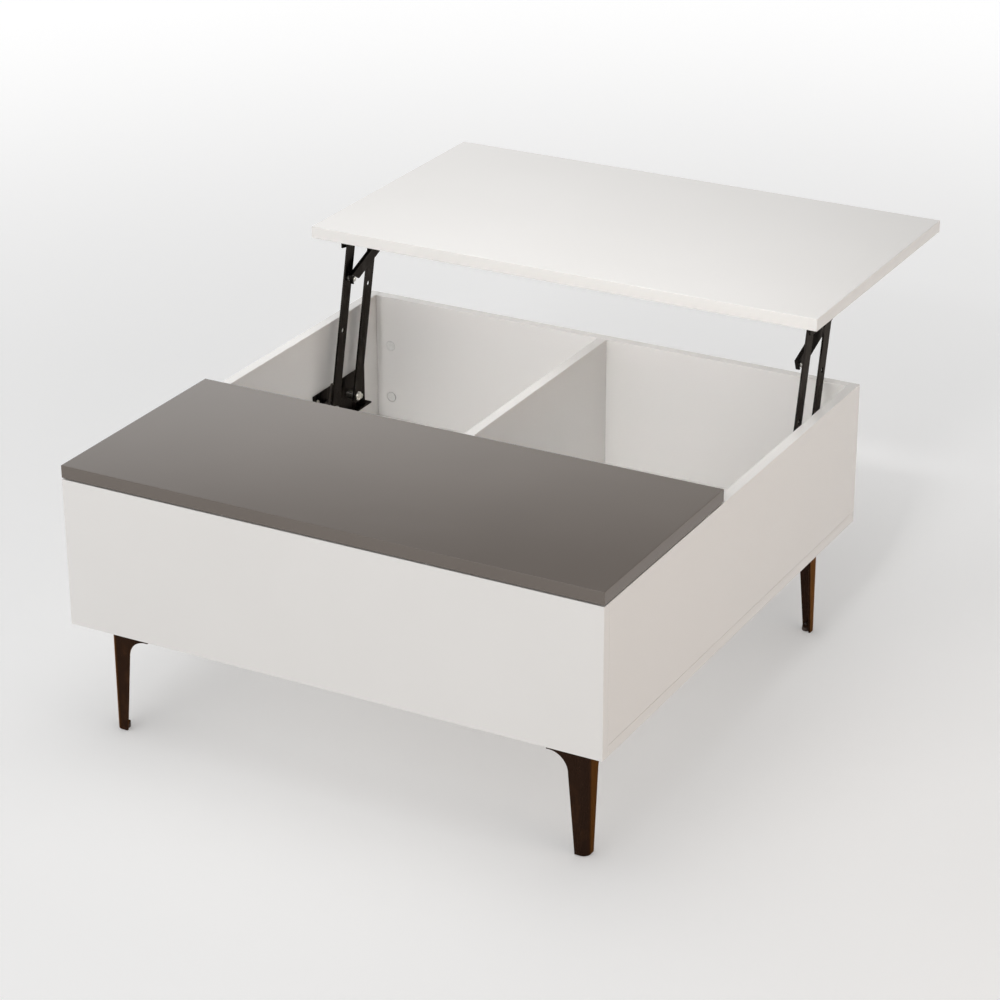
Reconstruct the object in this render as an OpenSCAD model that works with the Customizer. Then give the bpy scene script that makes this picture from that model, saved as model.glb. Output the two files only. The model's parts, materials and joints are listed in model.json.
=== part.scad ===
// Square lift top coffee table with its lift top raised.
// X runs across the table, +Y towards the rear, +Z up. The origin is on the floor,
// under the middle of the table's raised outline. A drawing that faces +X is
// mirrored for the left side.

/* [Carcass] */
// Width of the table
table_w = 800; // [760:1:900]
// Depth of the table when closed
table_d = 800; // [760:1:900]
// Height of the box, without its tops
box_h = 213; // [205:1:240]
// Height of the legs
leg_h = 167; // [150:1:220]
// Thickness of the box panels
panel_t = 15; // [15:1:18]
// Thickness of the bottom panel
bottom_t = 16; // [15:1:18]

/* [Tops] */
// Thickness of both tops
top_t = 18; // [16:1:22]
// Depth of the fixed top
fixed_d = 342; // [320:1:360]
// Shadow gap between the box and the tops
top_gap = 2; // [1.5:0.5:3]
// Gap between the fixed top and the closed lift top
split_gap = 2; // [2:0.5:4]

/* [Lift] */
// How far the lift top moves back as it rises
lift_reach = 288; // [280:1:292]
// How far the lift top rises
lift_rise = 135; // [130:1:140]
// Angle at which the raised arms lean past upright
arm_lean = 13.2; // [12.5:0.1:14]
// Width of an arm
arm_w = 21; // [19:1:22]
// Thickness of an arm
arm_t = 3; // [2:0.5:3]
// Distance between a side's two arms
arm_spacing = 64; // [62:1:66]
// Distance of an arm from the inner face of its side panel
arm_offset = 17.5; // [17:0.5:18]

/* [Legs] */
// Width of a leg's face at the floor
leg_foot_w = 18.5; // [17:0.5:20]
// Width of a leg's face below its gusset
leg_neck_w = 28.5; // [26:0.5:30]
// Width of a leg's face under the box
leg_head_w = 60; // [58:1:64]
// Inset of the legs from the sides of the box
leg_inset_x = 37.5; // [30:0.5:50]
// Inset of the legs from the front and rear of the box
leg_inset_y = 35; // [30:0.5:50]

/* [Hidden] */
$fn = 48;
fit = 0.05;          // radial clearance of a pin in its bore
hole_gap = 0.1;      // radial clearance of a hidden fitting in its hole
face_gap = 0.3;      // side clearance between parts that turn past each other

// Colours
white_gloss = [0.87, 0.86, 0.85];
grey_gloss = [0.42, 0.41, 0.39];
black_steel = [0.09, 0.08, 0.08];
leg_black = [0.16, 0.12, 0.1];
zinc = [0.72, 0.72, 0.7];
rubber = [0.2, 0.14, 0.1];
clear_bumper = [0.85, 0.85, 0.83];
beech = [0.78, 0.65, 0.47];

// Places of the box
x_out = table_w / 2;
x_in = x_out - panel_t;
y_front = -(table_d + lift_reach) / 2;
y_rear = y_front + table_d;
y_front_in = y_front + panel_t;
y_rear_in = y_rear - panel_t;
y_mid = (y_front + y_rear) / 2;
z_floor = leg_h + bottom_t;
z_rim = leg_h + box_h;
z_top_under = z_rim + top_gap;
y_split = y_front + fixed_d;
rail_y = y_split - panel_t - 2;
rail_h = 60;

// Raised place of the lift top
lift_d = table_d - fixed_d - split_gap;
lift_y = y_split + split_gap + lift_reach;
lift_z = z_top_under + lift_rise;

// Parallel arms: the lift top's path is the chord of the arc that its pivots follow
chord = norm([lift_reach, lift_rise]);
half_fold = atan2(lift_rise, lift_reach) + arm_lean;
arm_len = chord / (2 * sin(half_fold));
pivot_drop = 16;
pivot_y = lift_y + 57;
pivot_z = lift_z - pivot_drop;
base_y = pivot_y - arm_len * sin(arm_lean);
base_z = pivot_z - arm_len * cos(arm_lean);
pivot_r = 4;
boss_r = 7;
head_r = 7;
head_t = 2;
arm_x = x_in - arm_offset;
arm_out = arm_x + arm_t / 2;
arm_in = arm_x - arm_t / 2;
sight_hole_r = 4;
front_hole = 135;    // from the front arm's upper pivot to its round hole
rear_hole = 84;      // from the rear arm's upper pivot to its round hole

// Steel base plate on the side panel
base_t = 2.5;
base_x = x_in - base_t;
base_lip = 14;
base_back = 48;
base_fore = 34;
base_up = 30;
base_down = 30;

// Steel angle under the lift top: its web is deep at the arms' pivots, and has an ear
// for the latch's pivot
rail_t = 2.5;
rail_gap = 10.5;     // from the rail's web to the side panel
rail_x = x_in - rail_gap - rail_t;
rail_fore = 17;
rail_back = 212;
rail_depth = 26;
rail_nose = 24;      // depth of the web at its front end
rail_tail = 15;      // depth of the web behind the arms
rail_ear_r = 6;
rail_flange = 26;

// Latch that drops over the stop pin
latch_t = 2.5;
latch_x = arm_in - 8;
latch_w = 22;
latch_flange = 3.5;  // width of the folded flange and of the lip on the hook
latch_flange_at = 14;    // from the latch's pivot to its flange
latch_lip = 1.6;     // thickness of the lip
latch_pivot = 130;   // from the front arm's upper pivot, along the rail
stop_reach = 56;     // from the front arm's upper pivot to its stop pin
stop_r = 4;
stop_skin = 1;       // thickness of the arm that is left behind the stop pin
stop_y = pivot_y - stop_reach * sin(arm_lean);
stop_z = pivot_z - stop_reach * cos(arm_lean);
latch_y = pivot_y + latch_pivot;
latch_dip = atan2(pivot_z - stop_z, latch_y - stop_y);
latch_len = norm([latch_y - stop_y, pivot_z - stop_z]);
slot_r = stop_r + 0.5;
slot_angle = -120;   // way the stop pin leaves the slot, from the latch's length
slot_depth = 24;
slot_mouth = 8;      // half width of the slot at its depth
hook_out = 6.3;      // from the stop pin to the front of the hook
hook_drop = 5;       // from the stop pin down to the hook's tip

// Torsion spring round the front arm's base pivot
spring_wire = 2.4;
spring_turns = 5;
spring_r = arm_w / 2 + spring_wire / 2 + 0.5;
spring_leg = 42;

// Fittings of the panels
cam_r = 7.5;
cam_h = 12.5;
cover_t = 1.2;
cam_back = 24;
bolt_r = 3.5;
dowel_r = 4;
cam_z = [z_floor + 34, z_floor + 118];
dowel_z = [z_floor + 76, z_floor + 170];
cam_in = 11;         // depth of a cam bolt or dowel in the panel that it joins
dowel_len = 31;
floor_dowel_x = [-300, -100, 100, 300];
long_screw = 48;
long_screw_r = 2.5;
screw_r = 2;
screw_head_r = 4;
screw_head_t = 2;
screw_bite = 11;     // depth that a short screw goes into a board

// Places of the long screws that go up through the bottom panel
bottom_screw_places = concat(
    [for (s = [-1, 1], y = [70, 290, 510, 730]) [s * (x_in + panel_t / 2), y_front + y]],
    [for (x = [-250, 250]) [x, y_rear - panel_t / 2]],
    [for (y = [-250, 0, 250]) [0, y_mid + y]]
);

// Steel angles that hold the fixed top: place, and the way that they face
bracket_w = 16;
bracket_arm = 20;
bracket_t = 2;
bracket_screw = 13;  // from a bracket's corner to its screws
bracket_places = [
    [-260, y_front_in, 0], [260, y_front_in, 0],
    [x_in, y_front + 200, 90], [-x_in, y_front + 200, -90],
    [-190, rail_y, 180], [190, rail_y, 180]
];

// Pads between the rim and the fixed top, and bumpers under the lift top
pad_r = 5;
bumper_r = 4;
bumper_h = top_gap - 0.2;
pad_places = concat(
    [for (s = [-1, 1], y = [60, 280]) [s * (x_in + panel_t / 2), y_front + y]],
    [for (x = [-150, 150]) [x, y_front + panel_t / 2]]
);
bumper_places = concat(
    [for (s = [-1, 1], y = [60, 410]) [s * (x_in + panel_t / 2), y_split + y]],
    [for (x = [-150, 150]) [x, y_rear - panel_t / 2]]
);

// Screws of the base plates, as places on the plate, and of the rails under the top
base_screws = [[-24, 18], [-24, -17], [32, 18], [100, 18], [100, -17]];
rail_screws_y = [30, 97, 165, 200];
rail_screw_x = arm_x - 1.5;

// Legs
steel_t = 3;
bend_r = 10;
leg_plate_t = 3;
gusset_r = 28;
gusset_z = leg_h - 23.5 - gusset_r;
foot_r = 6.5;
foot_h = 6.5;
foot_gap = 1;
foot_stud_r = 3;
foot_stud_h = 5;
foot_tab_in = 2;     // how far the foot's tab stays inside the leg's outer faces
foot_tab_w = 14.5;
foot_x = steel_t + foot_r + 0.3;
leg_holes = [[16, 44], [44, 16], [44, 44]];

// A box between two corners
module block(low, high) {
    translate(low)
        cube(high - low);
}

// Draws its children on the right, or mirrored on the left
module on_side(side) {
    if (side == "left")
        mirror([1, 0, 0])
            children();
    else
        children();
}

// A round bar along +X from x0 to x1 at the given Y and Z
module bar_x(r, x0, x1, y = 0, z = 0) {
    translate([x0, y, z])
        rotate([0, 90, 0])
            cylinder(r = r, h = x1 - x0);
}

// A round bar along +Z with its foot at the given place
module bar_z(r, h, place) {
    translate(place)
        cylinder(r = r, h = h);
}

// A screw that points along +Z, with its pan head below z = 0, through a plate and
// into a board
module pan_screw(plate) {
    cylinder(r = screw_r, h = plate + screw_bite);
    translate([0, 0, -screw_head_t])
        cylinder(r = screw_head_r, h = screw_head_t);
}

// The hole of a short screw that starts at z = 0
module screw_hole(plate) {
    cylinder(r = screw_r + hole_gap, h = plate + screw_bite + 1);
}

// A hole through a plate above z = 0, for a short screw
module plate_hole(plate) {
    translate([0, 0, -1])
        cylinder(r = screw_r + hole_gap, h = plate + 2);
}

// A long screw that points along +Z, with its head sunk flush at z = 0
module sunk_screw(grow = 0) {
    cylinder(r = long_screw_r + grow, h = long_screw);
    cylinder(r1 = long_screw_r + 2 + grow, r2 = long_screw_r + grow, h = 3);
}

// ---------- Fittings that join the panels ----------

// Draws its children at the foot of each corner joint. The children's +Y points into
// the panel that is joined, and their +X out of the face that takes the cams.
module at_panel_joints() {
    for (side = ["left", "right"])
        on_side(side) {
            translate([x_in + panel_t / 2, y_front_in, 0])
                rotate([0, 0, 180])
                    children();
            translate([x_in, y_rear - panel_t / 2, 0])
                rotate([0, 0, -90])
                    children();
        }
    translate([0, y_front_in, 0])
        rotate([0, 0, 180])
            children();
    translate([0, y_rear_in, 0])
        mirror([1, 0, 0])
            children();
}

// Draws its children at both ends of both support rails, their +Y out of the rail
module at_rail_ends() {
    for (side = ["left", "right"])
        on_side(side) {
            translate([x_in, rail_y + panel_t / 2, 0])
                rotate([0, 0, -90])
                    children();
            translate([panel_t / 2, rail_y + panel_t / 2, 0])
                rotate([0, 0, 90])
                    children();
        }
}

// Discs along the cams' axes, between two depths from the middle of the panel
module all_cams_at(low, high, grow = 0) {
    at_panel_joints()
        for (z = cam_z)
            bar_x(cam_r + grow, low, high, -cam_back, z);
}

// A bar along Y through a joint's face
module joint_bar(r, back, into) {
    translate([0, into, 0])
        rotate([90, 0, 0])
            cylinder(r = r, h = into + back);
}

module all_bolts(grow = 0) {
    at_panel_joints()
        for (z = cam_z)
            translate([0, 0, z])
                joint_bar(bolt_r + grow, cam_back - cam_r - hole_gap, cam_in + grow);
}

module all_dowels(grow = 0) {
    at_panel_joints()
        for (z = dowel_z)
            translate([0, 0, z])
                joint_bar(dowel_r + grow, dowel_len - cam_in + grow, cam_in + grow);
    at_rail_ends()
        for (z = [15, rail_h - 15])
            translate([0, 0, z_rim - z])
                joint_bar(dowel_r + grow, dowel_len - cam_in + grow,
                    min(cam_in, panel_t / 2 - 1) + grow);
    for (x = floor_dowel_x)
        translate([x, y_front_in, leg_h + bottom_t / 2])
            mirror([0, 1, 0])
                joint_bar(dowel_r + grow, dowel_len - cam_in + grow, cam_in + grow);
}

module all_bottom_screws(grow = 0) {
    for (p = bottom_screw_places)
        translate([p[0], p[1], leg_h])
            sunk_screw(grow);
}

// Everything that is drilled out of the panels
module panel_holes() {
    all_cams_at(panel_t / 2 - cam_h - hole_gap, panel_t, hole_gap);
    all_bolts(hole_gap);
    all_dowels(hole_gap);
    all_bottom_screws(hole_gap);
    at_legs()
        at_leg_screws()
            screw_hole(leg_plate_t);
    for (side = ["left", "right"])
        on_side(side)
            at_base_screws()
                screw_hole(base_t);
    at_bracket_places()
        at_bracket_screws()
            screw_hole(bracket_t);
}

module panel(low, high) {
    difference() {
        block(low, high);
        panel_holes();
    }
}

// ---------- Panels ----------

module bottom_panel() {
    color(white_gloss)
        panel([-x_out, y_front_in, leg_h], [x_out, y_rear, z_floor]);
}

module front_panel() {
    color(white_gloss)
        panel([-x_out, y_front, leg_h], [x_out, y_front_in, z_rim]);
}

module rear_panel() {
    color(white_gloss)
        panel([-x_in, y_rear_in, z_floor], [x_in, y_rear, z_rim]);
}

module side_panel(side) {
    color(white_gloss)
        difference() {
            on_side(side)
                block([x_in, y_front_in, z_floor], [x_out, y_rear, z_rim]);
            panel_holes();
        }
}

module centre_divider() {
    color(white_gloss)
        panel([-panel_t / 2, y_front_in, z_floor], [panel_t / 2, y_rear_in, z_rim]);
}

module support_rail(side) {
    color(white_gloss)
        difference() {
            on_side(side)
                block([panel_t / 2, rail_y, z_rim - rail_h], [x_in, rail_y + panel_t, z_rim]);
            panel_holes();
        }
}

module fixed_top() {
    color(grey_gloss)
        panel([-x_out, y_front, z_top_under], [x_out, y_split, z_top_under + top_t]);
}

module lift_top() {
    color(white_gloss)
        difference() {
            block([-x_out, lift_y, lift_z], [x_out, lift_y + lift_d, lift_z + top_t]);
            at_rail_screws()
                screw_hole(rail_t);
        }
}

// ---------- Fittings ----------

module cam_locks() {
    color(zinc)
        all_cams_at(panel_t / 2 - cam_h, panel_t / 2 - cover_t - hole_gap);
}

module cam_covers() {
    color(white_gloss)
        all_cams_at(panel_t / 2 - cover_t, panel_t / 2);
}

module cam_bolts() {
    color(zinc)
        all_bolts();
}

module wood_dowels() {
    color(beech)
        all_dowels();
}

module bottom_screws() {
    color(zinc)
        all_bottom_screws();
}

module at_bracket_places() {
    for (p = bracket_places)
        translate([p[0], p[1], z_top_under])
            rotate([0, 0, p[2]])
                children();
}

// One screw back into the panel, and one up into the fixed top
module at_bracket_screws() {
    translate([0, bracket_t, -bracket_screw])
        rotate([90, 0, 0])
            children();
    translate([0, bracket_screw, -bracket_t])
        children();
}

module top_brackets() {
    color(black_steel)
        at_bracket_places()
            difference() {
                union() {
                    block([-bracket_w / 2, 0, -bracket_arm], [bracket_w / 2, bracket_t, 0]);
                    block([-bracket_w / 2, 0, -bracket_t], [bracket_w / 2, bracket_arm, 0]);
                }
                at_bracket_screws()
                    plate_hole(bracket_t);
            }
}

module top_bracket_screws() {
    color(zinc)
        at_bracket_places()
            at_bracket_screws()
                pan_screw(bracket_t);
}

module rim_pads() {
    color(clear_bumper)
        for (p = pad_places)
            bar_z(pad_r, top_gap, [p[0], p[1], z_rim]);
}

module lift_top_bumpers() {
    color(clear_bumper)
        for (p = bumper_places)
            bar_z(bumper_r, bumper_h, [p[0], p[1] + lift_reach, lift_z - bumper_h]);
}

// ---------- Legs ----------

// Draws its children in a leg's own frame: the origin is the leg's outer corner on the
// floor, and the leg's faces run along +X and +Y
module at_leg(end, side) {
    translate([(side == "left" ? -1 : 1) * (x_out - leg_inset_x),
            end == "front" ? y_front + leg_inset_y : y_rear - leg_inset_y, 0])
        mirror([side == "left" ? 0 : 1, 0, 0])
            mirror([0, end == "front" ? 0 : 1, 0])
                children();
}

module at_legs() {
    for (end = ["front", "rear"], side = ["left", "right"])
        at_leg(end, side)
            children();
}

// A square of width w whose corner at the origin has radius r
module round_corner(w, r) {
    translate([r, r])
        circle(r);
    translate([r, 0])
        square([w - r, w]);
    translate([0, r])
        square([w, w - r]);
}

// Outline of a leg's face: a taper with an arched gusset under the box
module leg_face() {
    gusset_x = leg_neck_w + gusset_r;
    difference() {
        union() {
            polygon([[0, foot_gap], [leg_foot_w, foot_gap], [leg_neck_w, gusset_z], [0, gusset_z]]);
            translate([0, gusset_z])
                square([leg_head_w, leg_h - leg_plate_t - gusset_z]);
        }
        translate([gusset_x, gusset_z])
            circle(gusset_r, $fn = 96);
        translate([gusset_x, gusset_z - 1])
            square([leg_head_w, gusset_r + 1]);
    }
}

module leg(end, side) {
    color(leg_black)
        at_leg(end, side)
            difference() {
                union() {
                    intersection() {
                        linear_extrude(height = leg_h)
                            difference() {
                                round_corner(leg_head_w, bend_r);
                                translate([steel_t, steel_t])
                                    round_corner(leg_head_w, bend_r - steel_t);
                            }
                        translate([0, leg_head_w, 0])
                            rotate([90, 0, 0])
                                linear_extrude(height = leg_head_w)
                                    leg_face();
                        rotate([90, 0, 90])
                            linear_extrude(height = leg_head_w)
                                leg_face();
                    }
                    translate([0, 0, leg_h - leg_plate_t])
                        linear_extrude(height = leg_plate_t)
                            round_corner(leg_head_w, bend_r);
                    translate([foot_tab_in, foot_tab_in, foot_h])
                        linear_extrude(height = steel_t)
                            intersection() {
                                round_corner(leg_head_w, bend_r - foot_tab_in);
                                square(foot_tab_w - foot_tab_in);
                            }
                }
                at_leg_screws()
                    plate_hole(leg_plate_t);
                bar_z(foot_stud_r + hole_gap, steel_t + 2, [foot_x, foot_x, foot_h - 1]);
            }
}

module foot(end, side) {
    color(rubber)
        at_leg(end, side) {
            bar_z(foot_r, foot_h, [foot_x, foot_x, 0]);
            bar_z(foot_stud_r, foot_h + foot_stud_h, [foot_x, foot_x, 0]);
        }
}

// Draws its children under a leg's top plate, in the leg's own frame
module at_leg_screws() {
    for (p = leg_holes)
        translate([p[0], p[1], leg_h - leg_plate_t])
            children();
}

module leg_screws() {
    color(zinc)
        at_legs()
            at_leg_screws()
                pan_screw(leg_plate_t);
}

// ---------- Lift mechanism ----------

// Draws its children on the right base plate's inner face, +Z out into the side panel
module at_base_screws() {
    for (p = base_screws)
        translate([base_x, base_y + p[0], base_z + p[1]])
            rotate([0, 90, 0])
                children();
}

module base_plate(side) {
    low_y = base_y - base_fore;
    high_y = base_y + arm_spacing + base_back;
    low_z = base_z - base_down;
    color(black_steel)
        on_side(side)
            difference() {
                union() {
                    block([base_x, low_y, low_z], [x_in, high_y, base_z + base_up]);
                    block([x_in - base_lip, low_y, low_z], [x_in, high_y, low_z + base_t]);
                }
                for (y = [0, arm_spacing])
                    bar_x(pivot_r + hole_gap, base_x - 1, x_in + 1, base_y + y, base_z);
                at_base_screws()
                    plate_hole(base_t);
            }
}

module base_plate_screws() {
    color(zinc)
        for (side = ["left", "right"])
            on_side(side)
                at_base_screws()
                    pan_screw(base_t);
}

// A shouldered rivet: a shaft through the arm, a head inside it and a boss behind it
module pivot(boss_end, shaft_end, y, z) {
    bar_x(pivot_r, arm_in - face_gap - head_t, shaft_end, y, z);
    bar_x(head_r, arm_in - face_gap - head_t, arm_in - face_gap, y, z);
    bar_x(boss_r, arm_out + face_gap, boss_end, y, z);
}

module base_pivots(side) {
    color(zinc)
        on_side(side)
            for (y = [0, arm_spacing])
                pivot(base_x, x_in - hole_gap, base_y + y, base_z);
}

module rail_pivots(side) {
    color(zinc)
        on_side(side)
            for (y = [0, arm_spacing])
                pivot(rail_x, rail_x + rail_t, pivot_y + y, pivot_z);
}

// Draws its children in an arm's frame: the origin is its upper pivot, and -Z runs
// down the arm
module at_arm(y = 0) {
    translate([0, pivot_y + y, pivot_z])
        rotate([-arm_lean, 0, 0])
            children();
}

module arm(side, y, hole) {
    color(black_steel)
        on_side(side)
            at_arm(y)
                difference() {
                    union() {
                        bar_x(arm_w / 2, arm_in, arm_out);
                        bar_x(arm_w / 2, arm_in, arm_out, 0, -arm_len);
                        block([arm_in, -arm_w / 2, -arm_len], [arm_out, arm_w / 2, 0]);
                    }
                    for (z = [0, -arm_len])
                        bar_x(pivot_r + fit, arm_in - 1, arm_out + 1, 0, z);
                    bar_x(sight_hole_r, arm_in - 1, arm_out + 1, 0, -hole);
                    if (y == 0)
                        bar_x(stop_r + hole_gap, arm_in - 1, arm_out - stop_skin, 0, -stop_reach);
                }
}

module stop_pin(side) {
    color(zinc)
        on_side(side)
            at_arm()
                bar_x(stop_r, latch_x - latch_flange, arm_out - stop_skin, 0, -stop_reach);
}

// A coil round the front arm's base pivot, as one sleeve. One leg stands on the base
// plate's lip, and the other runs up the arm and hooks over its front edge.
module lift_spring(side) {
    wire_r = spring_wire / 2;
    leg_r = wire_r - 0.1;
    coil_in = arm_out + 2 * face_gap;
    coil_out = coil_in + spring_turns * spring_wire;
    color(black_steel)
        on_side(side) {
            difference() {
                bar_x(spring_r + wire_r, coil_in, coil_out, base_y, base_z);
                bar_x(spring_r - wire_r, coil_in - 1, coil_out + 1, base_y, base_z);
            }
            bar_z(leg_r, base_down - base_t - 0.2,
                [coil_out - wire_r, base_y - spring_r, base_z - base_down + base_t + 0.2]);
            at_arm()
                translate([0, -spring_r, -arm_len]) {
                    bar_z(leg_r, spring_leg, [coil_in + wire_r, 0, 0]);
                    bar_x(leg_r, arm_in, coil_in + wire_r, 0, spring_leg - wire_r);
                }
        }
}

// Outline of the rail's web. Its front pivot is at x = 0, and y = 0 is the lift top.
module rail_web() {
    behind = arm_spacing + head_r;
    polygon([
        [-rail_fore, 0], [-rail_fore, -rail_nose], [-pivot_r, -rail_depth], [behind, -rail_depth],
        [behind + head_r, -rail_tail], [rail_back, -rail_tail], [rail_back, 0]
    ]);
    translate([latch_pivot, -pivot_drop])
        circle(rail_ear_r);
}

module top_rail(side) {
    color(black_steel)
        on_side(side)
            difference() {
                union() {
                    translate([rail_x, pivot_y, lift_z])
                        rotate([90, 0, 90])
                            linear_extrude(height = rail_t)
                                rail_web();
                    block([rail_x + rail_t - rail_flange, pivot_y - rail_fore, lift_z - rail_t],
                        [rail_x + rail_t, pivot_y + rail_back, lift_z]);
                }
                for (y = [0, arm_spacing, latch_pivot])
                    bar_x(pivot_r + hole_gap, rail_x - 1, rail_x + rail_t + 1, pivot_y + y, pivot_z);
                at_rail_screws(["right"])
                    plate_hole(rail_t);
            }
}

// Draws its children under the top rails' flanges
module at_rail_screws(sides = ["left", "right"]) {
    for (side = sides)
        on_side(side)
            for (y = rail_screws_y)
                translate([rail_screw_x, pivot_y + y, lift_z - rail_t])
                    children();
}

module rail_screws() {
    color(zinc)
        at_rail_screws()
            pan_screw(rail_t);
}

// Outline of the latch. Its pivot is at the origin, and +X runs along it to the stop pin.
module latch_outline() {
    half = latch_w / 2;
    difference() {
        union() {
            circle(half);
            polygon([
                [0, half], [latch_len + hook_out, half], [latch_len + hook_out, -hook_drop],
                [latch_len, -hook_drop], [latch_len - stop_r, -half], [0, -half]
            ]);
        }
        circle(pivot_r + fit);
        translate([latch_len, 0]) {
            circle(slot_r);
            rotate(slot_angle)
                polygon([
                    [0, -slot_r], [slot_depth, -slot_mouth],
                    [slot_depth, slot_mouth], [0, slot_r]
                ]);
        }
    }
}

module latch(side) {
    color(black_steel)
        on_side(side)
            translate([latch_x + latch_t, latch_y, pivot_z])
                rotate([latch_dip, 0, 0])
                    rotate([90, 0, -90]) {
                        linear_extrude(height = latch_t)
                            latch_outline();
                        block([latch_flange_at, latch_w / 2 - latch_t, 0],
                            [latch_len + hook_out, latch_w / 2, latch_t + latch_flange]);
                        block([latch_len + hook_out - latch_lip, -hook_drop, 0],
                            [latch_len + hook_out, latch_w / 2, latch_t + latch_flange]);
                    }
}

module latch_pivot(side) {
    outer = latch_x + latch_t + face_gap;
    inner = latch_x - face_gap;
    color(zinc)
        on_side(side) {
            bar_x(pivot_r, inner - head_t, rail_x + rail_t, latch_y, pivot_z);
            bar_x(head_r, inner - head_t, inner, latch_y, pivot_z);
            bar_x(head_r - 1, outer, rail_x, latch_y, pivot_z);
        }
}

// ---------- The table ----------

bottom_panel();
front_panel();
rear_panel();
side_panel("left");  // side_panel_left
side_panel("right");  // side_panel_right
centre_divider();
support_rail("left");  // support_rail_left
support_rail("right");  // support_rail_right
fixed_top();
lift_top();
cam_locks();
cam_covers();
cam_bolts();
wood_dowels();
bottom_screws();
top_brackets();
top_bracket_screws();
rim_pads();
lift_top_bumpers();
leg("front", "left");  // leg_front_left
leg("front", "right");  // leg_front_right
leg("rear", "left");  // leg_rear_left
leg("rear", "right");  // leg_rear_right
foot("front", "left");  // foot_front_left
foot("front", "right");  // foot_front_right
foot("rear", "left");  // foot_rear_left
foot("rear", "right");  // foot_rear_right
leg_screws();
base_plate("left");  // base_plate_left
base_plate("right");  // base_plate_right
base_plate_screws();
base_pivots("left");  // base_pivots_left
base_pivots("right");  // base_pivots_right
lift_spring("left");  // lift_spring_left
lift_spring("right");  // lift_spring_right
arm("left", 0, front_hole);  // front_arm_left
arm("right", 0, front_hole);  // front_arm_right
arm("left", arm_spacing, rear_hole);  // rear_arm_left
arm("right", arm_spacing, rear_hole);  // rear_arm_right
stop_pin("left");  // stop_pin_left
stop_pin("right");  // stop_pin_right
top_rail("left");  // top_rail_left
top_rail("right");  // top_rail_right
rail_pivots("left");  // rail_pivots_left
rail_pivots("right");  // rail_pivots_right
latch("left");  // latch_left
latch("right");  // latch_right
latch_pivot("left");  // latch_pivot_left
latch_pivot("right");  // latch_pivot_right
rail_screws();
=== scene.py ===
"""Looks of the lift top coffee table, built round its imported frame."""

import json
import math

import bmesh
import bpy
from mathutils import Matrix, Vector


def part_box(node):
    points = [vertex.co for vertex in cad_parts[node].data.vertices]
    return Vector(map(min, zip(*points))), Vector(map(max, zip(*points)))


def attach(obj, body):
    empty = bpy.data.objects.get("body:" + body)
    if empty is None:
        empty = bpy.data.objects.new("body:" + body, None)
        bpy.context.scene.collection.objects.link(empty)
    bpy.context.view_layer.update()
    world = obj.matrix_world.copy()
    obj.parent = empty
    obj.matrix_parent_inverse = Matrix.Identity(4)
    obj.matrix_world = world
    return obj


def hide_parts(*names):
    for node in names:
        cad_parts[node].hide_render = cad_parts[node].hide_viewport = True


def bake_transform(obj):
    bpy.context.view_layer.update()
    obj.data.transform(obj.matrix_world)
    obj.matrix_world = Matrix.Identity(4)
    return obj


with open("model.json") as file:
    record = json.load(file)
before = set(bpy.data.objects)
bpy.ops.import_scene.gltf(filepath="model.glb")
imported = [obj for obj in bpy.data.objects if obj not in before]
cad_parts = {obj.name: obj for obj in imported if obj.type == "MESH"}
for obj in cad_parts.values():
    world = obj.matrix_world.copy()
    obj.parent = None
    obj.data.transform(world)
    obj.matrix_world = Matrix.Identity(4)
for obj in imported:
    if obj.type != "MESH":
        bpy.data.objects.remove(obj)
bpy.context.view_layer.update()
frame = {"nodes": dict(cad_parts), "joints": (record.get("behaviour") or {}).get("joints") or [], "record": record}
nodes = frame["nodes"]
node_body = {n: body for body, ns in frame["record"]["behaviour"]["bodies"].items() for n in ns}
node_slot = {p["node"]: p["material_slot"] for p in frame["record"]["subparts"]}

MM = 0.001
RANGE_SOCKETS = ("From Min", "From Max", "To Min", "To Max")


# ---------------------------------------------------------------- material graphs


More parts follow.
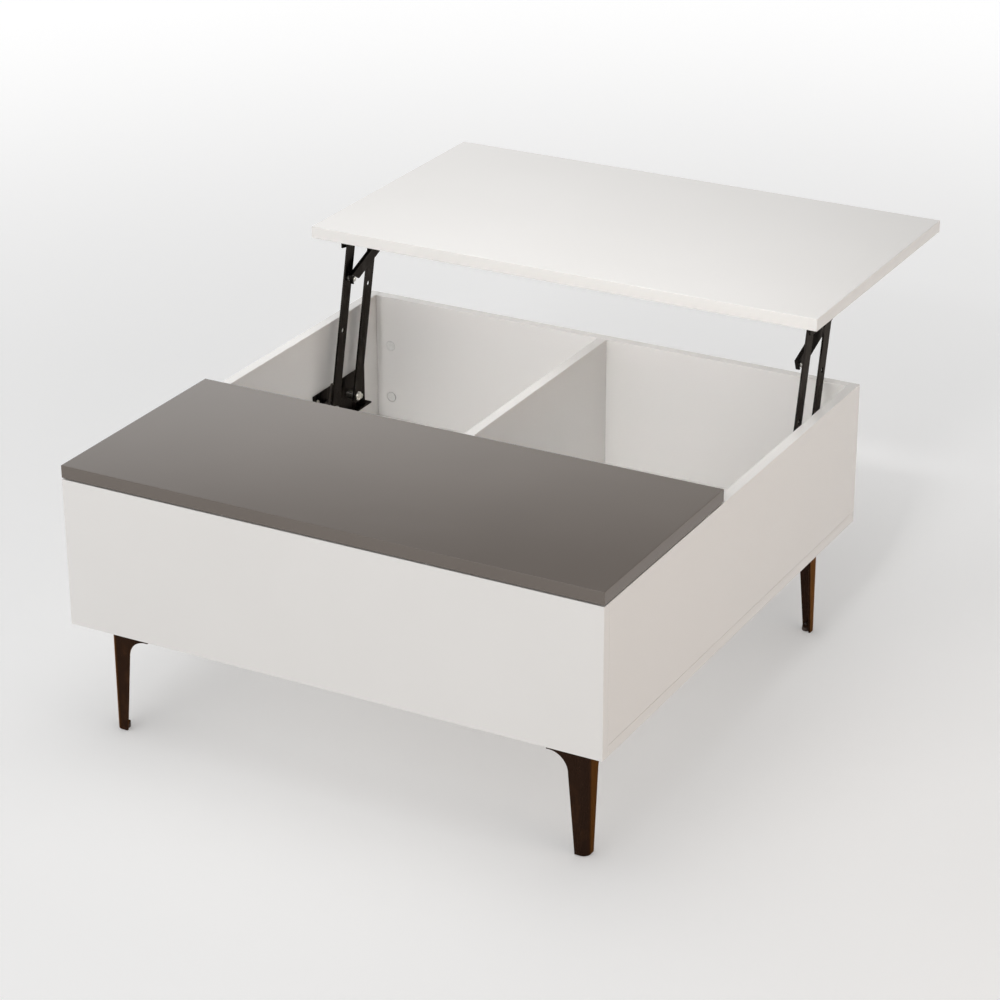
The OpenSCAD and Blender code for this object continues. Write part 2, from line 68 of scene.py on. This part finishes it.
class Graph:
    """A material's nodes, with short calls for what the materials here need."""

    def __init__(self, name, **sockets):
        self.material = bpy.data.materials.new(name)
        self.material.use_nodes = True
        tree = self.material.node_tree
        self.nodes, self.links = tree.nodes, tree.links
        self.shader = self.nodes["Principled BSDF"]
        for socket, value in sockets.items():
            self.shader.inputs[socket.replace("_", " ")].default_value = value
        self.point = self.nodes.new("ShaderNodeTexCoord").outputs["Object"]
        self.bump_from = None

    def feed(self, socket, value):
        """Links a node's output to a socket, or sets a plain value on it."""
        if isinstance(value, bpy.types.NodeSocket):
            self.links.new(value, socket)
        else:
            socket.default_value = value

    def stretched(self, x, y, z):
        """The place on the object, scaled by x, y and z."""
        node = self.nodes.new("ShaderNodeMapping")
        self.feed(node.inputs["Vector"], self.point)
        node.inputs["Scale"].default_value = (x, y, z)
        return node.outputs["Vector"]

    def noise(self, scale, detail=3.0, roughness=0.55, point=None):
        """Soft noise from 0 to 1, with its scale in features per metre."""
        node = self.nodes.new("ShaderNodeTexNoise")
        self.feed(node.inputs["Vector"], point or self.point)
        node.inputs["Scale"].default_value = scale
        node.inputs["Detail"].default_value = detail
        node.inputs["Roughness"].default_value = roughness
        return node.outputs["Fac"]

    def ramp(self, value, low, high, out_low=0.0, out_high=1.0):
        """value, remapped smoothly from low..high to out_low..out_high."""
        node = self.nodes.new("ShaderNodeMapRange")
        node.interpolation_type = "SMOOTHSTEP"
        self.feed(node.inputs["Value"], value)
        for name, number in zip(RANGE_SOCKETS, (low, high, out_low, out_high)):
            node.inputs[name].default_value = number
        return node.outputs["Result"]

    def math(self, operation, a, b):
        """The result of one arithmetic step."""
        node = self.nodes.new("ShaderNodeMath")
        node.operation = operation
        self.feed(node.inputs[0], a)
        self.feed(node.inputs[1], b)
        return node.outputs[0]

    def mix(self, share, a, b):
        """A colour between a and b."""
        node = self.nodes.new("ShaderNodeMix")
        node.data_type = "RGBA"
        self.feed(node.inputs["Factor"], share)
        for socket, colour in ((node.inputs["A"], a), (node.inputs["B"], b)):
            self.feed(socket, colour if isinstance(colour, bpy.types.NodeSocket) else (*colour, 1.0))
        return node.outputs["Result"]

    def set(self, name, value):
        """Links or sets an input of the material's shader."""
        self.feed(self.shader.inputs[name], value)

    def bump(self, height, distance, strength=1.0):
        """Adds a bump on top of those before it. distance is in metres."""
        node = self.nodes.new("ShaderNodeBump")
        node.inputs["Strength"].default_value = strength
        node.inputs["Distance"].default_value = distance
        self.feed(node.inputs["Height"], height)
        if self.bump_from:
            self.feed(node.inputs["Normal"], self.bump_from)
        self.bump_from = node.outputs["Normal"]
        self.set("Normal", self.bump_from)


def lacquer(name, light, dark, roughness):
    """High-gloss lacquer on board: a faint orange peel, and smears that dull the gloss a little."""
    g = Graph(name, Specular_IOR_Level=0.5)
    cloud = g.ramp(g.noise(3.5, 2.0), 0.3, 0.7)
    g.set("Base Color", g.mix(cloud, dark, light))
    smears = g.ramp(g.noise(9.0, 5.0, 0.65, g.stretched(1.0, 2.6, 1.0)), 0.45, 0.8)
    g.set("Roughness", g.ramp(smears, 0.0, 1.0, roughness, roughness + 0.05))
    g.bump(g.noise(420.0, 2.0), 0.00001, 0.4)
    g.bump(g.noise(14.0, 1.0), 0.00005, 0.4)
    return g.material


def coated_steel(name, base, worn, roughness, glance, grain=1500.0):
    """A burnished dark finish on steel: fine grain, and handling marks along the part. glance is
    the tint of what it reflects at a low angle; on the legs its warm orange is a painted reflection."""
    g = Graph(name, Metallic=1.0, Specular_Tint=(*glance, 1.0))
    cloud = g.noise(38.0, 4.0, 0.6)
    marks = g.noise(55.0, 6.0, 0.7, g.stretched(1.0, 1.0, 0.12))
    wear = g.ramp(g.math("MULTIPLY", cloud, marks), 0.24, 0.46)
    g.set("Base Color", g.mix(wear, base, worn))
    g.set("Roughness", g.ramp(marks, 0.3, 0.7, roughness - 0.06, roughness + 0.08))
    g.bump(g.noise(grain, 3.0), 0.00003, 0.35)
    return g.material


def bare_metal(name, base, tint, roughness, streak=400.0):
    """Zinc plate or spring steel, with fine streaks and a cloudy tint."""
    g = Graph(name, Metallic=1.0)
    cloud = g.ramp(g.noise(90.0, 3.0), 0.35, 0.7)
    streaks = g.noise(streak, 3.0, 0.6, g.stretched(0.15, 1.0, 1.0))
    g.set("Base Color", g.mix(cloud, base, tint))
    g.set("Roughness", g.ramp(streaks, 0.3, 0.7, roughness - 0.05, roughness + 0.12))
    g.bump(streaks, 0.00002, 0.25)
    return g.material


def rubber(name):
    """Dark brown rubber with a fine pebbled skin and dusty patches."""
    g = Graph(name, Specular_IOR_Level=0.5)
    dust = g.ramp(g.noise(60.0, 4.0), 0.35, 0.7)
    g.set("Base Color", g.mix(dust, (0.024, 0.012, 0.007), (0.042, 0.021, 0.011)))
    g.set("Roughness", g.ramp(g.noise(120.0, 3.0), 0.3, 0.7, 0.38, 0.55))
    g.bump(g.noise(1400.0, 2.0), 0.00005, 0.4)
    return g.material


def plastic(name, light, dark, roughness, transmission=0.0):
    """Moulded plastic with a slight flow pattern and a satin skin."""
    g = Graph(name, Transmission_Weight=transmission, IOR=1.49)
    g.set("Base Color", g.mix(g.noise(140.0, 2.0), dark, light))
    g.set("Roughness", g.ramp(g.noise(260.0, 2.0), 0.3, 0.7, roughness - 0.04, roughness + 0.06))
    g.bump(g.noise(1800.0, 1.0), 0.00002, 0.3)
    return g.material


def dowel_wood(name):
    """Beech with its fibres along the dowel."""
    g = Graph(name)
    fibres = g.noise(260.0, 5.0, 0.7, g.stretched(1.0, 0.08, 1.0))
    g.set("Base Color", g.mix(g.ramp(fibres, 0.35, 0.65), (0.38, 0.23, 0.11), (0.62, 0.44, 0.26)))
    g.set("Roughness", g.ramp(fibres, 0.3, 0.7, 0.55, 0.7))
    g.bump(fibres, 0.0001, 0.5)
    return g.material


finishes = {
    "white_lacquer": lacquer(
        "white_lacquer", (0.82, 0.801, 0.779), (0.805, 0.786, 0.763), 0.045),
    "grey_lacquer": lacquer(
        "grey_lacquer", (0.152, 0.128, 0.110), (0.142, 0.119, 0.102), 0.04),
    "white_plastic": plastic("white_plastic", (0.76, 0.75, 0.73), (0.73, 0.72, 0.70), 0.25),
    "clear_plastic": plastic("clear_plastic", (0.9, 0.9, 0.88), (0.82, 0.82, 0.80), 0.25, 0.6),
    "beech": dowel_wood("beech"),
    # The legs' dark brown base is their own colour; their orange glance tint is a painted reflection of a warm
    # floor.
    "leg_steel": coated_steel(
        "leg_steel", (0.028, 0.015, 0.010), (0.050, 0.024, 0.013), 0.27, (1.0, 0.66, 0.48)),
    "black_steel": coated_steel(
        "black_steel", (0.024, 0.021, 0.019), (0.046, 0.042, 0.038), 0.27, (0.62, 0.6, 0.58)),
    "zinc": bare_metal("zinc", (0.66, 0.65, 0.62), (0.72, 0.70, 0.62), 0.28),
    "spring_steel": bare_metal("spring_steel", (0.09, 0.085, 0.08), (0.14, 0.12, 0.10), 0.34),
    "foot_rubber": rubber("foot_rubber"),
}


# ---------------------------------------------------------------- CAD solids, read back

ROUNDING = 5         # decimals of a metre that CAD points are compared to
NEAR = 0.02 * MM


def solids(name):
    """A CAD node's separate solids, each as a list of its points."""
    mesh = bmesh.new()
    mesh.from_mesh(nodes[name].data)
    bmesh.ops.remove_doubles(mesh, verts=mesh.verts, dist=NEAR / 2)
    mesh.verts.index_update()
    seen, found = set(), []
    for start in mesh.verts:
        if start.index in seen:
            continue
        seen.add(start.index)
        waiting, points = [start], []
        while waiting:
            vert = waiting.pop()
            points.append(vert.co.copy())
            for edge in vert.link_edges:
                other = edge.other_vert(vert)
                if other.index not in seen:
                    seen.add(other.index)
                    waiting.append(other)
        found.append(points)
    mesh.free()
    return found


class Turned:
    """The axis of a turned solid, and its outline as (place along the axis, radius) pairs."""

    def __init__(self, points, pick):
        low = Vector([min(p[i] for p in points) for i in range(3)])
        high = Vector([max(p[i] for p in points) for i in range(3)])
        size = high - low
        self.axis = pick(range(3), key=lambda i: size[i])
        self.middle = (low + high) / 2
        rings = {}
        for point in points:
            across = point - self.middle
            across[self.axis] = 0.0
            rings.setdefault(round(point[self.axis], ROUNDING), set()).add(round(across.length, ROUNDING))
        self.outline = []
        for station in sorted(rings):
            radii = sorted(rings[station])
            if self.outline and abs(radii[0] - self.outline[-1][1]) > NEAR:
                radii.reverse()
            self.outline += [Vector((station, radius)) for radius in radii]

    def at(self, station, radius, angle):
        """The point on the surface at a station, a radius and an angle round the axis."""
        point = self.middle.copy()
        point[self.axis] = station
        point[(self.axis + 1) % 3] += radius * math.cos(angle)
        point[(self.axis + 2) % 3] += radius * math.sin(angle)
        return point

    def ring(self, mesh, station, radius, steps):
        """A ring of new points on the surface at a station, or one point on the axis."""
        turns = 1 if radius < NEAR else steps
        return [mesh.verts.new(self.at(station, radius, math.tau * i / steps)) for i in range(turns)]


def eased(outline, edge):
    """An outline with its corners rounded, and its ends closed on the axis."""
    closed = [Vector((outline[0][0], 0.0)), *outline, Vector((outline[-1][0], 0.0))]
    smooth = [closed[0]]
    for before, here, after in zip(closed, closed[1:], closed[2:]):
        sides = [other - here for other in (before, after)]
        near, far = (here + side * min(edge / side.length, 0.45) for side in sides)
        for t in (0.0, 0.25, 0.5, 0.75, 1.0):
            smooth.append(near * (1 - t) ** 2 + here * 2 * t * (1 - t) + far * t ** 2)
    return smooth + [closed[-1]]


def revolve(mesh, turned, outline, steps=40):
    """Adds an outline's surface of revolution round a turned solid's axis to a mesh."""
    skin(mesh, [turned.ring(mesh, station, radius, steps) for station, radius in outline], steps)


def skin(mesh, rings, steps):
    """Joins rings of points with faces. A ring of one point is a closed end."""
    for lower, upper in zip(rings, rings[1:]):
        for i in range(steps):
            j = (i + 1) % steps
            corners = [lower[i % len(lower)], lower[j % len(lower)]]
            corners += [upper[j % len(upper)], upper[i % len(upper)]]
            corners = list(dict.fromkeys(corners))
            if len(corners) > 2:
                mesh.faces.new(corners)


def add_piece(name, mesh, stands_for):
    """Makes a named piece from a bmesh, in place of a CAD node."""
    bmesh.ops.recalc_face_normals(mesh, faces=mesh.faces)
    data = bpy.data.meshes.new(name)
    mesh.to_mesh(data)
    mesh.free()
    data.materials.append(finishes[node_slot[stands_for]])
    data.shade_smooth()
    piece = bpy.data.objects.new(name, data)
    bpy.context.scene.collection.objects.link(piece)
    normals = piece.modifiers.new("flat_faces", "WEIGHTED_NORMAL")
    normals.weight = 60
    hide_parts(stands_for)
    return piece


# ---------------------------------------------------------------- turned fittings

# How a turned solid's axis is told from its box: it is the longest side, or the shortest
LONG, SHORT = max, min


def dome(outline, end, rise):
    """Raises an end of an outline into a dome with a small dimple."""
    station, radius = outline[end]
    away = math.copysign(rise, station - outline[-1 if end == 0 else 0][0])
    cap = []
    for share in (0.93, 0.78, 0.58, 0.36, 0.2, 0.14):
        height = math.sqrt(1 - share ** 2) if share > 0.2 else 0.8 * math.sqrt(1 - share ** 2)
        cap.append(Vector((station + away * height, radius * share)))
    cap.append(Vector((station + away * 0.72, radius * 0.02)))
    return [*reversed(cap), *outline] if end == 0 else [*outline, *cap]


def turned_fitting(name, pick, edge, rise=0.0):
    """Redraws a node's turned solids with rounded edges, and domes the ends that face the
    middle of the table where a rise is given."""
    mesh = bmesh.new()
    for points in solids(name):
        turned = Turned(points, pick)
        outline = turned.outline
        if rise:
            inner = 0 if abs(outline[0][0]) < abs(outline[-1][0]) else -1
            outline = dome(outline, inner, rise)
        revolve(mesh, turned, eased(outline, edge))
    ride_piece(add_piece(name + "_turned", mesh, name), name)


def ride_piece(piece, node):
    """Makes a piece ride on the body of a CAD node."""
    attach(piece, node_body[node])


# ---------------------------------------------------------------- screws

SCREW_STEPS = 48
CROSS_REACH = 0.56   # of a head's radius
CROSS_WIDTH = 0.15
HEAD_RINGS = (1.0, 0.985, 0.94, 0.87, 0.78, 0.68, 0.6, 0.57, 0.55,
              0.46, 0.36, 0.27, 0.2, 0.16, 0.13, 0.07, 0.0)


def cross_depth(x, y):
    """Share of its full depth that a cross recess has at a place across a head of radius 1."""
    narrow, wide = sorted((abs(x), abs(y)))
    if wide > CROSS_REACH or narrow > CROSS_WIDTH:
        return 0.0
    return 1.0 - 0.6 * wide / CROSS_REACH


def add_screw(mesh, points, drop, recess):
    """Draws a screw: a pointed shank, and a head with a cross recess that falls by drop to its
    rim."""
    turned = Turned(points, LONG)
    outline = turned.outline
    if outline[0][1] > outline[-1][1]:
        outline = list(reversed(outline))
    tip, rim = outline[0], outline[-1]
    out = math.copysign(1.0, rim[0] - tip[0])
    point_len = 2.0 * tip[1] * out
    shank = [Vector((tip[0], 0.0)), Vector((tip[0] + point_len * 0.2, tip[1] * 0.25))]
    shank.append(Vector((tip[0] + point_len, tip[1])))
    shank += outline[1:-1]
    rings = [turned.ring(mesh, station, radius, SCREW_STEPS) for station, radius in shank]
    for share in HEAD_RINGS:
        ring = []
        for i in range(SCREW_STEPS if share else 1):
            angle = math.tau * i / SCREW_STEPS
            depth = recess * cross_depth(share * math.cos(angle), share * math.sin(angle))
            height = rim[0] - out * (drop * share ** 4 + depth)
            ring.append(mesh.verts.new(turned.at(height, rim[1] * share, angle)))
        rings.append(ring)
    skin(mesh, rings, SCREW_STEPS)


def screws(name, drop, recess):
    """Redraws a node's screws with pointed shanks and crosshead recesses."""
    mesh = bmesh.new()
    for points in solids(name):
        add_screw(mesh, points, drop, recess)
    ride_piece(add_piece(name + "_crosshead", mesh, name), name)


# ---------------------------------------------------------------- lift springs

joint_of = {joint["child"]: joint for joint in frame["joints"]}
WIRE = 1.18 * MM     # radius of the spring wire
COIL_STEPS = 40
SPRING_TURNS = 4
SPRING_TRAVEL = 9.6 * MM
SPRING_LEG = 42 * MM


def sweep(mesh, path, radius, steps=12):
    """Adds a round wire along a path of points, with closed ends."""
    rings = []
    side = Vector((1.0, 0.0, 0.0))
    angles = [math.tau * k / steps for k in range(steps)]
    for i, point in enumerate(path):
        ahead = (path[min(i + 1, len(path) - 1)] - path[max(i - 1, 0)]).normalized()
        side = (side - ahead * side.dot(ahead)).normalized()
        other = ahead.cross(side)
        spokes = [radius * (math.cos(a) * side + math.sin(a) * other) for a in angles]
        rings.append([mesh.verts.new(point + spoke) for spoke in spokes])
    start, end = mesh.verts.new(path[0]), mesh.verts.new(path[-1])
    skin(mesh, [[start], *rings, [end]], steps)


def bend(before, corner, after, radius, steps=6):
    """Points of a rounded corner between two straight stretches."""
    near = corner + (before - corner).normalized() * radius
    far = corner + (after - corner).normalized() * radius
    shares = [k / steps for k in range(steps + 1)]
    return [near * (1 - t) ** 2 + corner * 2 * t * (1 - t) + far * t ** 2 for t in shares]


def lift_spring(side):
    """A torsion spring of round wire: one leg stands on the base plate's lip, the coil winds
    round the pivot's boss, and the other leg runs up the arm and hooks over its edge."""
    node = "lift_spring_" + side
    arm = "front_arm_" + side
    hand = 1.0 if side == "right" else -1.0
    low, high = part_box(node)
    outer = max(abs(low.x), abs(high.x)) - WIRE
    hook = min(abs(low.x), abs(high.x))
    pivot = Vector(joint_of[arm]["pos_m"])
    head = Vector(joint_of["top"]["pos_m"])
    lean = math.atan2(head.y - pivot.y, head.z - pivot.z)
    along = Vector((0.0, math.sin(lean), math.cos(lean)))
    fore = Vector((0.0, -math.cos(lean), math.sin(lean)))
    radius = pivot.y - low.y - WIRE
    inner = outer - SPRING_TRAVEL
    turn = math.tau * SPRING_TURNS + lean
    path = [Vector((outer, pivot.y - radius, z)) for z in (low.z + WIRE, pivot.z - 6 * MM)]
    steps = round(COIL_STEPS * turn / math.tau)
    for i in range(steps + 1):
        share = i / steps
        angle = math.pi - turn * share
        x = outer - SPRING_TRAVEL * share
        path.append(Vector((x, pivot.y + radius * math.cos(angle), pivot.z + radius * math.sin(angle))))
    foot = Vector((inner, pivot.y, pivot.z)) + fore * radius
    corner = foot + along * (SPRING_LEG - WIRE)
    over = Vector((hook + WIRE, corner.y, corner.z))
    path += bend(foot, corner, over, 2 * MM)
    path.append(over)
    for point in path:
        point.x *= hand
    mesh = bmesh.new()
    sweep(mesh, path, WIRE)
    piece = add_piece(node + "_coil", mesh, node)
    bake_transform(piece)


# ---------------------------------------------------------------- the pieces

for side in ("left", "right"):
    turned_fitting("base_pivots_" + side, LONG, 0.5 * MM, rise=1.6 * MM)
    # A rail's pivots are shorter than their heads are wide
    turned_fitting("rail_pivots_" + side, SHORT, 0.5 * MM, rise=1.6 * MM)
    turned_fitting("latch_pivot_" + side, LONG, 0.5 * MM, rise=1.4 * MM)
    turned_fitting("stop_pin_" + side, LONG, 0.9 * MM)
    lift_spring(side)
    for end in ("front", "rear"):
        turned_fitting(f"foot_{end}_{side}", SHORT, 2.4 * MM)

turned_fitting("rim_pads", SHORT, 0.7 * MM)
turned_fitting("lift_top_bumpers", SHORT, 0.8 * MM)
turned_fitting("cam_covers", SHORT, 0.4 * MM)
for name in ("top_bracket_screws", "leg_screws", "base_plate_screws", "rail_screws"):
    screws(name, 0.8 * MM, 1.1 * MM)
screws("bottom_screws", 0.1 * MM, 1.6 * MM)

# ---------------------------------------------------------------- the CAD nodes' own finish

BOARDS = ("white_lacquer", "grey_lacquer")
BOARD_EDGE = 0.8 * MM
STEEL_EDGE = 0.35 * MM


def soften(piece, width, segments=3):
    """Joins a CAD mesh's triangles into clean faces and rounds its sharp edges."""
    weld = piece.modifiers.new("weld", "WELD")
    weld.merge_threshold = 0.01 * MM
    flatten = piece.modifiers.new("whole_faces", "DECIMATE")
    flatten.decimate_type = "DISSOLVE"
    flatten.angle_limit = math.radians(1.0)
    bevel = piece.modifiers.new("soft_edges", "BEVEL")
    bevel.width = width
    bevel.segments = segments
    bevel.limit_method = "ANGLE"
    bevel.angle_limit = math.radians(40)
    bevel.use_clamp_overlap = False
    bevel.loop_slide = False
    piece.data.shade_smooth()
    normals = piece.modifiers.new("flat_faces", "WEIGHTED_NORMAL")
    normals.weight = 100


for name, node in nodes.items():
    node.data.materials.clear()
    node.data.materials.append(finishes[node_slot[name]])
    soften(node, BOARD_EDGE if node_slot[name] in BOARDS else STEEL_EDGE)


# ---------------------------------------------------------------- stage, light and camera


def plane(name, size, place, material):
    """A flat square stage piece."""
    mesh = bpy.data.meshes.new(name)
    h = size / 2
    mesh.from_pydata([(-h, -h, 0), (h, -h, 0), (h, h, 0), (-h, h, 0)], [], [(0, 1, 2, 3)])
    piece = bpy.data.objects.new(name, mesh)
    piece.location = place
    mesh.materials.append(material)
    bpy.context.scene.collection.objects.link(piece)
    return piece


FLOOR_GLOW = (0.18, 0.62)          # painted light: weakest under the table, which paints the floor darker there, and stronger far from it
FLOOR_GLOW_REACH = (0.6, 4.0)      # the distances between which it rises


def floor_material():
    """White studio floor that glows a little with painted light, so that it stays pale under and far from the
    table; the glow is weakest near the table, which paints the floor darker there.
    """
    g = Graph("floor_paint_and_glow", Specular_IOR_Level=0.1, Emission_Color=(1.0, 1.0, 1.0, 1.0))
    distance = g.nodes.new("ShaderNodeVectorMath")
    distance.operation = "LENGTH"
    g.feed(distance.inputs[0], g.point)
    g.set("Emission Strength", g.ramp(distance.outputs["Value"], *FLOOR_GLOW_REACH, *FLOOR_GLOW))
    g.set("Base Color", g.mix(g.noise(2.0, 3.0), (0.80, 0.80, 0.80), (0.82, 0.82, 0.82)))
    g.set("Roughness", 0.9)
    return g.material


ROOM_GLOW = 0.29
WALL_GLOW = 1.1
FRONT_GLOW = 0.12
WALL_TOWARD = math.radians(105)    # turned from the rear towards the left
WALL_TOP = (math.sin(math.radians(21.5)), math.sin(math.radians(26.5)))


def studio_world():
    """A grey room with a bright low band of wall to the left, and a pale front."""
    world = bpy.data.worlds.new("studio")
    world.use_nodes = True
    tree = world.node_tree
    view = tree.nodes.new("ShaderNodeTexCoord").outputs["Generated"]
    split = tree.nodes.new("ShaderNodeSeparateXYZ")
    tree.links.new(view, split.inputs["Vector"])

    def ramp(value, low, high, out_low, out_high):
        node = tree.nodes.new("ShaderNodeMapRange")
        node.interpolation_type = "SMOOTHSTEP"
        tree.links.new(value, node.inputs["Value"])
        for name, number in zip(RANGE_SOCKETS, (low, high, out_low, out_high)):
            node.inputs[name].default_value = number
        return node.outputs["Result"]

    def math_node(operation, a, b):
        node = tree.nodes.new("ShaderNodeMath")
        node.operation = operation
        for socket, value in zip(node.inputs, (a, b)):
            if isinstance(value, bpy.types.NodeSocket):
                tree.links.new(value, socket)
            else:
                socket.default_value = value
        return node.outputs[0]

    flat = math_node("SUBTRACT", math_node("MULTIPLY", split.outputs["Y"], math.cos(WALL_TOWARD)),
                     math_node("MULTIPLY", split.outputs["X"], math.sin(WALL_TOWARD)))
    left = ramp(flat, -0.05, 0.31, 0.0, 1.0)
    wall = ramp(split.outputs["Z"], *WALL_TOP, 1.0, 0.0)
    glow = math_node("MULTIPLY", math_node("MULTIPLY", left, wall), WALL_GLOW)
    front = math_node("MULTIPLY", ramp(split.outputs["Y"], -0.55, 0.0, 1.0, 0.0),
                      ramp(split.outputs["Z"], 0.3, 0.5, 0.35, 1.0))
    front_glow = math_node("MULTIPLY", front, FRONT_GLOW)
    strength = math_node("ADD", math_node("ADD", glow, front_glow), ROOM_GLOW)
    background = tree.nodes["Background"]
    background.inputs["Color"].default_value = (1.0, 1.0, 1.0, 1.0)
    tree.links.new(strength, background.inputs["Strength"])
    return world


def area_light(name, place, aim, size, power, colour=(1.0, 1.0, 1.0), spread=180.0):
    """A rectangular studio light that the camera doesn't see. spread is the angle that it shines
    into, in degrees."""
    data = bpy.data.lights.new(name, "AREA")
    data.shape = "RECTANGLE"
    data.size, data.size_y = size
    data.energy = power
    data.color = colour
    data.spread = math.radians(spread)
    light = bpy.data.objects.new(name, data)
    light.location = place
    light.visible_camera = False
    light.rotation_mode = "QUATERNION"
    light.rotation_quaternion = (Vector(aim) - Vector(place)).to_track_quat("-Z", "Y")
    bpy.context.scene.collection.objects.link(light)


plane("floor", 160.0, (0, 0, 0), floor_material())
bpy.context.scene.world = studio_world()
bpy.context.scene.view_settings.view_transform = "Standard"

area_light("overhead_light", (-0.3, -0.2, 3.2), (0, 0, 0), (3.0, 3.0), 34)
area_light("front_light", (-0.5, -2.9, 2.5), (0, 0, 0.35), (2.0, 1.2), 9)
area_light("box_light", (0.3, -1.6, 1.6), (0.0, 0.2, 0.31), (0.9, 0.12), 0.62, spread=24.0)
area_light("side_light", (2.6, -0.9, 2.6), (0, 0, 0.3), (2.0, 2.0), 8, (1.0, 0.94, 0.88))
area_light("warm_light", (2.6, -0.6, 0.5), (0.3, -0.2, 0.2), (1.6, 0.8), 5, (1.0, 0.62, 0.33))

# The camera looks at the table from its front right corner
AZIMUTH = 0.499936
ELEVATION = 0.4277515
ROLL = -0.0036112
DISTANCE = 4.194902
AIM = Vector((0.0389274, -0.144, 0.2834682))
SENSOR = 36.0
FOCAL = 3.059151 * SENSOR

back = Vector((
    math.sin(AZIMUTH) * math.cos(ELEVATION),
    -math.cos(AZIMUTH) * math.cos(ELEVATION),
    math.sin(ELEVATION),
))
level_right = Vector((math.cos(AZIMUTH), math.sin(AZIMUTH), 0.0))
level_up = back.cross(level_right)
right = math.cos(ROLL) * level_right + math.sin(ROLL) * level_up
up = math.cos(ROLL) * level_up - math.sin(ROLL) * level_right
camera_data = bpy.data.cameras.new("camera")
camera_data.sensor_width = SENSOR
camera_data.lens = FOCAL
camera_data.clip_start = 0.1
camera_data.clip_end = 100.0
camera = bpy.data.objects.new("camera", camera_data)
place = AIM + back * DISTANCE
camera.matrix_world = Matrix((
    (right.x, up.x, back.x, place.x),
    (right.y, up.y, back.y, place.y),
    (right.z, up.z, back.z, place.z),
    (0, 0, 0, 1),
))
bpy.context.scene.collection.objects.link(camera)
bpy.context.scene.camera = camera
